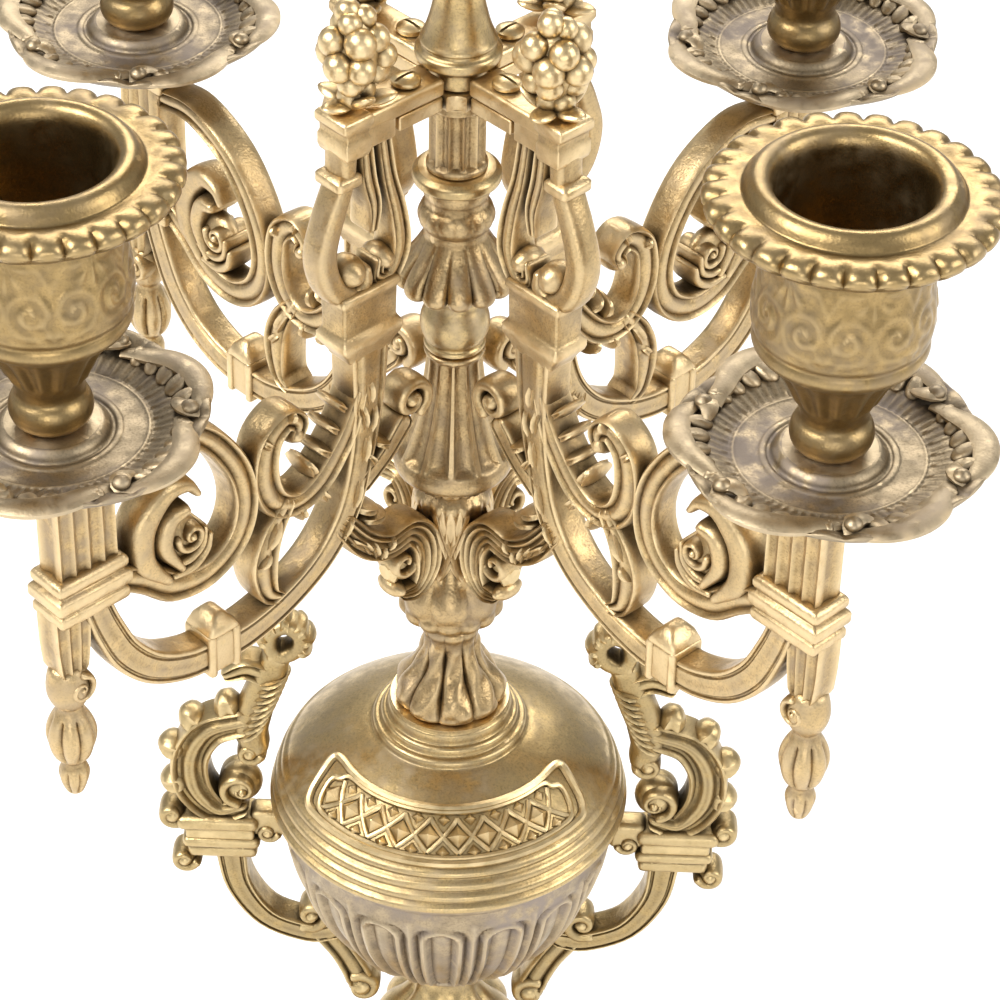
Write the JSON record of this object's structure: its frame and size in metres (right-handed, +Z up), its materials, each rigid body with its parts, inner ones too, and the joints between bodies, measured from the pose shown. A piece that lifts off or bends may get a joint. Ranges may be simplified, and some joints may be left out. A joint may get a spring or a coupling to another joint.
{
  "type": "tabletop candelabra",
  "caption": "Tabletop brass candelabra: stacked column on a handled urn, scrolled arms at the corners and a centre light, each with a drip pan and flanged candle cup.",
  "frame": {"origin": "centre of the foot's underside, on the column axis", "axes": "+Z up the column, -Y towards the viewer, handles on +X and -X"},
  "size_m": [0.159, 0.159, 0.3452],
  "materials": {
    "cast_brass": "antique cast brass, satin with dark recesses",
    "turned_brass": "turned antique brass, lightly polished",
    "pan_brass": "cast brass with dull pinkish-grey patina",
    "steel": "plain steel fixings"
  },
  "bodies": {
    "base": {"foot": "cast_brass", "base_washer": "steel", "base_nut": "steel", "tie_rod": "steel", "stem": "turned_brass", "urn_bowl": "cast_brass", "urn_cover": "turned_brass", "handle_right": "cast_brass", "handle_left": "cast_brass", "handle_screw_right_upper": "steel", "handle_screw_right_lower": "steel", "handle_screw_left_upper": "steel", "handle_screw_left_lower": "steel"},
    "crown": {"column_foot": "cast_brass", "leaf_knop": "cast_brass", "bell_baluster": "cast_brass", "neck_ball": "turned_brass", "gadrooned_cap": "cast_brass", "flange_ring": "turned_brass", "fluted_shaft": "cast_brass", "arm_hub": "cast_brass", "capital": "turned_brass", "vase_baluster": "turned_brass", "arm_front_left": "cast_brass", "grapes_front_left": "cast_brass", "lap_screw_front_left": "turned_brass", "knee_screw_front_left": "turned_brass", "stud_front_left": "steel", "arm_front_right": "cast_brass", "grapes_front_right": "cast_brass", "lap_screw_front_right": "turned_brass", "knee_screw_front_right": "turned_brass", "stud_front_right": "steel", "arm_back_right": "cast_brass", "grapes_back_right": "cast_brass", "lap_screw_back_right": "turned_brass", "knee_screw_back_right": "turned_brass", "stud_back_right": "steel", "arm_back_left": "cast_brass", "grapes_back_left": "cast_brass", "lap_screw_back_left": "turned_brass", "knee_screw_back_left": "turned_brass", "stud_back_left": "steel"},
    "pan_body_front_left": {"pan_front_left": "pan_brass"},
    "cup_body_front_left": {"cup_front_left": "turned_brass"},
    "pan_body_front_right": {"pan_front_right": "pan_brass"},
    "cup_body_front_right": {"cup_front_right": "turned_brass"},
    "pan_body_back_right": {"pan_back_right": "pan_brass"},
    "cup_body_back_right": {"cup_back_right": "turned_brass"},
    "pan_body_back_left": {"pan_back_left": "pan_brass"},
    "cup_body_back_left": {"cup_back_left": "turned_brass"},
    "pan_body_centre": {"pan_centre": "pan_brass"},
    "cup_body_centre": {"cup_centre": "turned_brass"}
  },
  "joints": [
    {"name": "column_turn", "type": "hinge", "parent": "base", "child": "crown", "pos_m": [0, 0, 0.1187], "axis": [0, 0, 1], "continuous": true},
    {"name": "pan_turn_front_left", "type": "hinge", "parent": "crown", "child": "pan_body_front_left", "pos_m": [-0.05551, -0.05551, 0.20966], "axis": [0, 0, 1], "continuous": true},
    {"name": "cup_unscrew_front_left", "type": "slide", "parent": "pan_body_front_left", "child": "cup_body_front_left", "axis": [0, 0, 1], "range_m": [0, 0.012]},
    {"name": "pan_turn_front_right", "type": "hinge", "parent": "crown", "child": "pan_body_front_right", "pos_m": [0.05551, -0.05551, 0.20966], "axis": [0, 0, 1], "continuous": true},
    {"name": "cup_unscrew_front_right", "type": "slide", "parent": "pan_body_front_right", "child": "cup_body_front_right", "axis": [0, 0, 1], "range_m": [0, 0.012]},
    {"name": "pan_turn_back_right", "type": "hinge", "parent": "crown", "child": "pan_body_back_right", "pos_m": [0.05551, 0.05551, 0.20966], "axis": [0, 0, 1], "continuous": true},
    {"name": "cup_unscrew_back_right", "type": "slide", "parent": "pan_body_back_right", "child": "cup_body_back_right", "axis": [0, 0, 1], "range_m": [0, 0.012]},
    {"name": "pan_turn_back_left", "type": "hinge", "parent": "crown", "child": "pan_body_back_left", "pos_m": [-0.05551, 0.05551, 0.20966], "axis": [0, 0, 1], "continuous": true},
    {"name": "cup_unscrew_back_left", "type": "slide", "parent": "pan_body_back_left", "child": "cup_body_back_left", "axis": [0, 0, 1], "range_m": [0, 0.012]},
    {"name": "pan_turn_centre", "type": "hinge", "parent": "crown", "child": "pan_body_centre", "pos_m": [0, 0, 0.2919], "axis": [0, 0, 1], "continuous": true},
    {"name": "cup_unscrew_centre", "type": "slide", "parent": "pan_body_centre", "child": "cup_body_centre", "axis": [0, 0, 1], "range_m": [0, 0.012]}
  ]
}
